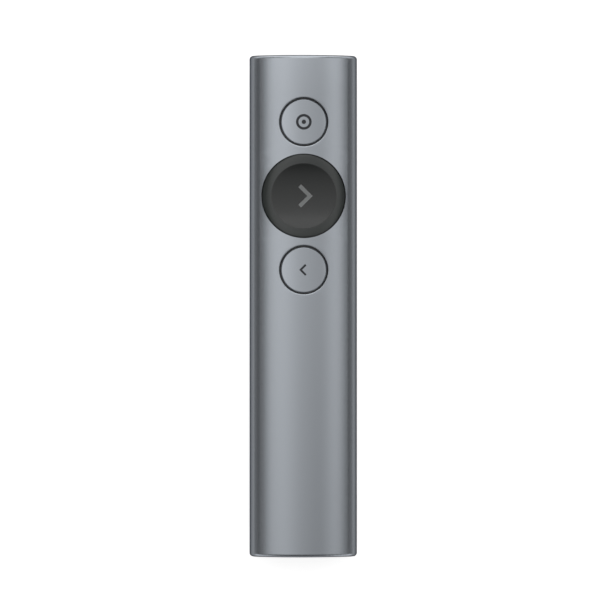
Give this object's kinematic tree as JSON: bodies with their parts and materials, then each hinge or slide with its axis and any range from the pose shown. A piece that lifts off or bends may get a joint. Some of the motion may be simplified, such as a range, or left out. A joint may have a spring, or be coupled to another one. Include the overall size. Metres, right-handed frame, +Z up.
{
  "type": "wireless presentation clicker",
  "caption": "Slim oval aluminium presentation remote with pointer, next and back buttons and a radio receiver that slides out of its tail.",
  "frame": {"origin": "middle of the footprint, at the height of the resting land on the back", "axes": "+Z up out of the buttons' side, +Y along the body towards the nose, +X across it"},
  "size_m": [0.028, 0.1308, 0.0121],
  "materials": {
    "alloy": "fine bead-blasted and anodised, satin",
    "alloy_cap": "anodised, a little smoother than the tube",
    "soft_black": "smooth matt paint",
    "dark_plastic": "fine moulded texture",
    "black_plastic": "moulded",
    "clear_plastic": "milky, polished ends",
    "led_body": "gloss",
    "board": "solder mask",
    "steel": "stamped sheet",
    "plated_steel": "bright nickel plate",
    "gold": "gold plate",
    "foil": "pouch foil",
    "foam": "closed-cell foam",
    "wire": "wire insulation",
    "connector": "moulded",
    "chip": "moulded package"
  },
  "bodies": {
    "casing": {"housing_tube": "alloy", "nose_cap": "dark_plastic", "light_pipe": "clear_plastic", "status_led": "led_body", "chassis": "black_plastic", "button_frame": "black_plastic", "frame_screws": "steel", "main_board": "board", "pointer_switch": "steel", "next_switch": "steel", "back_switch": "steel", "battery": "foil", "battery_pad": "foam", "battery_leads": "wire", "battery_connector": "connector", "vibration_motor": "steel", "motor_pad": "foam", "motor_leads": "wire", "radio_chip": "chip", "radio_crystal": "steel", "motion_sensor": "chip", "antenna": "gold", "charger_shield": "steel", "charger_coil": "chip", "usb_c_shell": "plated_steel", "usb_c_tongue": "black_plastic", "tail_sleeve": "dark_plastic", "sleeve_screws": "steel"},
    "pointer": {"pointer_button": "alloy_cap", "pointer_plunger": "black_plastic"},
    "next": {"next_button": "soft_black", "next_plunger": "black_plastic"},
    "back": {"back_button": "alloy_cap", "back_plunger": "black_plastic"},
    "receiver": {"receiver_top_shell": "black_plastic", "receiver_bottom_shell": "black_plastic", "receiver_end_cap": "black_plastic", "receiver_board": "board", "receiver_chip": "chip", "receiver_crystal": "steel", "plug_shell": "plated_steel", "plug_tongue": "black_plastic", "plug_contacts": "gold"}
  },
  "joints": [
    {"name": "pointer_press", "type": "slide", "parent": "casing", "child": "pointer", "axis": [0, 0, -1], "range_m": [0, 0.0004], "stiffness_N_per_m": 2500, "springref_m": -0.00032},
    {"name": "next_press", "type": "slide", "parent": "casing", "child": "next", "axis": [0, 0, -1], "range_m": [0, 0.0005], "stiffness_N_per_m": 2500, "springref_m": -0.00032},
    {"name": "back_press", "type": "slide", "parent": "casing", "child": "back", "axis": [0, 0, -1], "range_m": [0, 0.0004], "stiffness_N_per_m": 2500, "springref_m": -0.00032},
    {"name": "receiver_slide", "type": "slide", "parent": "casing", "child": "receiver", "axis": [0, -1, 0], "range_m": [0, 0.045]}
  ]
}
